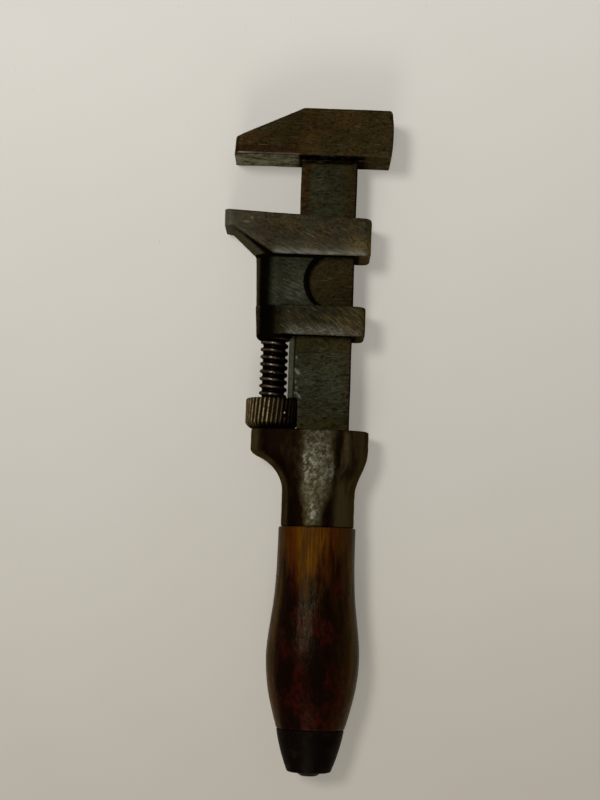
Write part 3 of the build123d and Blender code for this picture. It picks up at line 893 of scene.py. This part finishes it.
# pin through the wheel
pinShape = {
    "y": -99.28, "radius": 1.2, "half": 9.6, "dome": 0.25, "turn": 30.0, "spot": 0.28, "spotEdge": 0.15,
    "middleShare": 0.02, "rows": 24, "columns": 32,
}


# A round bar along a line turned from Z: its profile runs from one low dome to the other, the dome's
# height falling with the square of the radius. The middle of each dome is polished.
def pinMesh(shape):
    share = np.linspace(shape["middleShare"], 1, shape["rows"])
    out = np.concatenate([share, share[::-1]])[:, None] * shape["radius"]
    rise = shape["half"] + shape["dome"] * (1 - share ** 2)
    along = np.concatenate([rise, -rise[::-1]])[:, None]
    angle = onceRound(shape["columns"])
    lean = np.radians(shape["turn"])
    across = out * np.cos(angle)
    x = screwAxis + along * np.sin(lean) + across * np.cos(lean)
    z = along * np.cos(lean) - across * np.sin(lean)
    mesh = skinMesh("wheelPin", np.stack([x, shape["y"] + out * np.sin(angle), z], -1))
    rim = shape["spot"] - shape["spotEdge"], shape["spot"] + shape["spotEdge"]
    spot = 1 - smoothStep(out + 0 * angle, *rim)
    setAttribute(mesh, "spot", np.concatenate([spot.ravel(), [1, 1]]))
    return mesh


addPiece("wheelPin", pinMesh(pinShape), "screw", pinFinish, "pin_steel", "wheel_pin")


# ferrule
ferruleShape = {
    "top": -105.33, "bottom": -142.33, "step": 7.6, "corner": 2.8, "sweep": 13.5, "sweepStart": 25.0,
    "backSweep": 17.0, "stepReach": 26.8, "backReach": 18.7, "neck": 14.1, "half": 12.0, "middle": -1.0,
    "square": 2.9, "neckSquare": 2.3, "rim": 0.7, "hammer": 0.08, "fineSize": 2.0, "broadSize": 5.0,
    "seed": 51, "rows": 200, "columns": 288, "closeRows": 16, "closeShares": (0.03, 0.98),
    "creaseHighlight": 10.6, "creaseTurn": 13.4, "creaseEnd": 19.0, "creaseRun": 3.9, "creaseHalf": 0.6,
    "creaseFade": 3, "creaseTop": (0.5, 2.0), "hollowDepth": 0.5, "hollowOff": 2.4, "hollowHalf": 1.6,
}


# Each ring is a superellipse whose half-width differs in front and behind. The front half-width keeps
# to the step, bends over a corner that falls with the square of the depth, and follows part of an
# ellipse to the neck; behind it eases by half a cosine. The first and last rings shrink to the axis
# and close the ends. A painted highlight line, standing for a crease that catches the light, is coloured
# down the back half along a line that turns in to the neck, as a bell curve of the distance from it,
# and a hollow is sunk beside it. The whole surface sinks by value noise.
def ferruleMesh(shape):
    depth = np.linspace(0, shape["top"] - shape["bottom"], shape["rows"])
    inCorner = np.clip((depth - shape["step"]) / shape["corner"], 0, 1)
    inSweep = np.clip((depth - shape["step"] - shape["corner"]) / shape["sweep"], 0, 1)
    start = np.radians(shape["sweepStart"])
    rise = np.sqrt(1 - ((1 - inSweep) * np.cos(start)) ** 2)
    swept = shape["stepReach"] - shape["corner"]
    front = shape["stepReach"] - shape["corner"] * inCorner ** 2
    front = front - (swept - shape["neck"]) * (rise - np.sin(start)) / (1 - np.sin(start))
    ease = (1 - np.cos(np.pi * np.clip((depth - shape["step"]) / shape["backSweep"], 0, 1))) / 2
    back = shape["backReach"] + (shape["neck"] - shape["backReach"]) * ease
    power = shape["square"] + (shape["neckSquare"] - shape["square"]) * ease
    inset = rimInset(depth, shape["rim"])
    closeRows = shape["closeRows"]
    closing = np.linspace(*shape["closeShares"], closeRows)
    grow = np.concatenate([closing, np.ones(len(depth)), closing[::-1]])[:, None]
    last = len(depth) - 1
    pick = np.concatenate([np.zeros(closeRows, int), np.arange(last + 1), np.full(closeRows, last)])
    angle = onceRound(shape["columns"])
    bow, lift = np.cos(angle), np.sin(angle)
    ahead, behind = (front - inset)[pick][:, None], (back - inset)[pick][:, None]
    reach = np.where(bow < 0, ahead + shape["middle"], behind - shape["middle"])
    share = 2 / power[pick][:, None]
    x = shape["middle"] + grow * reach * np.sign(bow) * np.abs(bow) ** share
    z = grow * (shape["half"] - inset)[pick][:, None] * np.sign(lift) * np.abs(lift) ** share
    y = (shape["top"] - depth)[pick][:, None] + 0 * angle
    flat = np.stack([barAxis + x, y, z], -1).reshape(-1, 3)
    body = ((grow == 1) + 0 * angle).ravel()
    fine = unevenness(flat, shape["fineSize"], shape["seed"])
    broad = unevenness(flat, shape["broadSize"], shape["seed"] + 1)
    down = depth[pick][:, None]
    turned = np.clip((down - shape["creaseTurn"]) / (shape["creaseEnd"] - shape["creaseTurn"]), 0, 1)
    offLine = x - shape["creaseHighlight"] + shape["creaseRun"] * turned
    fade = 1 - smoothStep(down, shape["creaseEnd"] - shape["creaseFade"], shape["creaseEnd"])
    fade = fade * smoothStep(down, *shape["creaseTop"])
    creaseHighlight = (np.exp(-(offLine / shape["creaseHalf"]) ** 2) * fade).ravel()
    hollow = (np.exp(-((offLine + shape["hollowOff"]) / shape["hollowHalf"]) ** 2) * fade).ravel()
    shift = shape["hammer"] * (fine + 0.8 * broad - 1.8) - shape["hollowDepth"] * hollow
    out = (flat - np.array([barAxis + shape["middle"], 0, 0])) * np.array([1, 0, 1])
    out = out / np.maximum(np.linalg.norm(out, axis=1), 0.5)[:, None]
    flat = flat + out * (shift * body)[:, None]
    mesh = skinMesh("ferrule", flat.reshape(len(pick), -1, 3))
    setAttribute(mesh, "creaseHighlight", np.concatenate([creaseHighlight * body, [0, 0]]))
    setAttribute(mesh, "around", np.concatenate([(bow + 0 * y).ravel(), [0, 0]]))
    return mesh


addPiece("ferruleSkin", ferruleMesh(ferruleShape), "frame", ferruleFinish, "ferrule_iron", "ferrule")


# wooden grip and butt cap
gripShape = {
    "top": -142.33, "bottom": -218.53, "flat": 0.86, "rim": 0.5, "rows": 260, "columns": 192,
    "stations": (0.0, 11.0, 20.0, 28.0, 35.0, 41.0, 48.0, 54.5, 61.0, 66.0, 71.0, 76.2),
    "halves": (14.9, 14.93, 15.18, 15.75, 16.57, 17.29, 17.81, 17.7, 16.84, 15.79, 14.49, 13.0),
    "dent": 0.16, "groove": 0.07, "seed": 61,
}
capShape = {
    "top": -218.53, "bottom": -234.63, "flat": 0.86, "rim": 0.6, "rows": 90, "columns": 160,
    "stations": (0.0, 4.0, 8.0, 12.0, 16.1), "halves": (13.0, 12.2, 11.17, 9.88, 8.3),
    "dent": 0.14, "groove": 0.0, "seed": 71,
}
ovalRelief = {"dentSize": 9, "grainSize": 0.9, "grainStretch": (1, 0.06, 1), "grooveFrom": 0.2}
ovalEnds = {"rows": 14, "shares": (0.03, 0.97)}


# An oval turned along the handle: the half-width is a smooth curve through stations, the half-depth
# the flatness times it, and both ends close with a small rounded rim. The surface sinks by value
# noise, and for wood also by narrow noise drawn out along the grain.
def ovalMesh(name, shape):
    depth = np.linspace(0, shape["top"] - shape["bottom"], shape["rows"])
    half = throughStations(depth, shape["stations"], shape["halves"]) - rimInset(depth, shape["rim"])
    endRows = ovalEnds["rows"]
    closing = np.linspace(*ovalEnds["shares"], endRows)
    half = np.concatenate([half[0] * closing, half, half[-1] * closing[::-1]])[:, None]
    depth = np.concatenate([np.zeros(endRows), depth, np.full(endRows, depth[-1])])[:, None]
    angle = onceRound(shape["columns"])
    bow, rise = np.cos(angle), shape["flat"] * np.sin(angle)
    flat = np.stack([half * bow, shape["top"] - depth + 0 * angle, half * rise], -1).reshape(-1, 3)
    sink = shape["dent"] * (unevenness(flat, ovalRelief["dentSize"], shape["seed"]) - 1) / 2
    drawn = flat * np.array(ovalRelief["grainStretch"])
    lines = unevenness(drawn, ovalRelief["grainSize"], shape["seed"] + 1)
    sink = sink - shape["groove"] * np.maximum(lines - ovalRelief["grooveFrom"], 0)
    body = np.concatenate([np.zeros(endRows), np.ones(shape["rows"]), np.zeros(endRows)])[:, None]
    sink = sink.reshape(half.shape[0], -1) * body
    x = barAxis + (half + sink) * bow
    z = (half + sink) * rise
    mesh = skinMesh(name, np.stack([x, shape["top"] - depth + 0 * angle, z], -1))
    setAttribute(mesh, "around", np.concatenate([(bow + 0 * depth).ravel(), [0, 0]]))
    return mesh


gripMesh, capMesh = ovalMesh("handleGrip", gripShape), ovalMesh("buttCap", capShape)
addPiece("turnedGrip", gripMesh, "frame", woodFinish, "varnished_wood", "handle_grip")
addPiece("buttCap", capMesh, "frame", capFinish, "cap_iron", "butt_cap")

# the nut inside the ferrule keeps its solid's mesh
nodes["ferrule_nut"].data.materials.clear()
nodes["ferrule_nut"].data.materials.append(nutFinish)

# floor, light and camera
stageShape = {
    "tilt": 0.0196, "headY": 19.1, "headZ": -11.3, "reach": 3000.0,
    "headPaper": colour(0.7, 0.672, 0.61), "handlePaper": colour(0.45, 0.415, 0.352),
    "fadeFrom": -260, "fadeOver": 330, "fadeAcross": 0.0006, "fadeCloud": 60, "fadeUneven": 0.12,
    "speck": colour(0.2, 0.18, 0.15), "speckSize": 1.1, "plainShare": 0.4,
}


# The paper darkens from the head to the handle, a painted fall-off of the light. A share of what the camera
# and reflections see of it is its own colour without light, so shadows on it stay faint.
def paperFinish(look):
    f = Finish("paper", look)
    along = (f.y - look["fadeFrom"]) / look["fadeOver"] - look["fadeAcross"] * f.x
    along = along + (f.cloud(look["fadeCloud"]) - 0.5) * look["fadeUneven"]
    base = f.mix(along, "handlePaper", "headPaper")
    base = f.mix(f.cloud(look["speckSize"], detail=2).ramp(0.76, 0.80) * 0.5, base, "speck")
    rays = ("Is Camera Ray", "Is Glossy Ray", "Is Transmission Ray")
    camera, glossy, through = (f.node("ShaderNodeLightPath", output=ray) for ray in rays)
    lit = f.node("ShaderNodeBsdfDiffuse", {}, {"Color": base})
    plain = f.node("ShaderNodeEmission", {}, {"Color": base})
    share = (camera + glossy + through).eased() * look["plainShare"]
    shader = f.node("ShaderNodeMixShader", {}, {0: share, 1: lit, 2: plain})
    f.node("ShaderNodeOutputMaterial", {}, {"Surface": shader})
    return f.material


# A flat sheet that slopes down along the handle, so the head's back edge and the grip's belly touch it: its
# height is the head's plus the tilt times the distance from the head.
def floorMesh(shape):
    span = np.linspace(-1, 1, 3) * shape["reach"]
    x, y = (g.ravel() for g in np.meshgrid(span, span))
    z = shape["headZ"] + (y - shape["headY"]) * shape["tilt"]
    index = np.arange(9).reshape(3, 3)
    quads = np.stack([index[:-1, :-1], index[:-1, 1:], index[1:, 1:], index[1:, :-1]], -1)
    quads = quads.reshape(-1, 4)
    return meshFrom("paper", np.stack([x, y, z], -1) * mm, quads, np.empty((0, 3), int))


floor = newObject("paper", floorMesh(stageShape))
floor.data.materials.append(paperFinish(stageShape))

lampShapes = [
    {"name": "key", "way": (-0.36, 0.18, 1.0), "far": 1.3, "size": 0.30, "power": 9.6},
    {"name": "handleSide", "way": (-0.10, -0.75, 0.65), "far": 1.5, "size": 0.60, "power": 7.0},
]
lampAim = Vector((0.02, -0.11, 0.0))
for shape in lampShapes:
    lamp = bpy.data.lights.new(shape["name"], "AREA")
    lamp.shape, lamp.size, lamp.energy = "DISK", shape["size"], shape["power"]
    holder = newObject(shape["name"], lamp)
    way = Vector(shape["way"]).normalized()
    holder.location = lampAim + way * shape["far"]
    holder.rotation_mode = "QUATERNION"
    holder.rotation_quaternion = way.to_track_quat("Z", "Y")

roomLook = {"horizon": colour(0.27, 0.265, 0.255), "overhead": colour(0.25, 0.245, 0.24)}


# The room's light fades with the height of the direction.
def roomLight(look):
    world = bpy.data.worlds.new("room")
    bpy.context.scene.world = world
    room = Tree(world, look)
    way = room.node("ShaderNodeTexCoord", output="Generated")
    height = room.node("ShaderNodeSeparateXYZ", {}, {0: way}, 2)
    light = room.mix(height.ramp(0.0, 0.8), "horizon", "overhead")
    light = room.node("ShaderNodeBackground", {}, {"Color": light})
    room.node("ShaderNodeOutputWorld", {}, {"Surface": light})


roomLight(roomLook)

cameraShape = {
    "at": (0.020326, -0.156762, 0.672732),
    "forward": (-0.006771, 0.093687, -0.995579),
    "up": (-0.035477, 0.994952, 0.093869),
    "lens": 78.75, "sensor": 36.0,
}
view = bpy.data.cameras.new("photoView")
view.lens, view.sensor_width = cameraShape["lens"], cameraShape["sensor"]
eye = newObject("photoView", view)
forward, up = Vector(cameraShape["forward"]), Vector(cameraShape["up"])
right = forward.cross(up)
turn = Matrix((right, up, -forward)).transposed().to_4x4()
eye.matrix_world = Matrix.Translation(Vector(cameraShape["at"])) @ turn
bpy.context.scene.camera = eye
bpy.context.scene.view_settings.view_transform = "Standard"
print("stage ready")
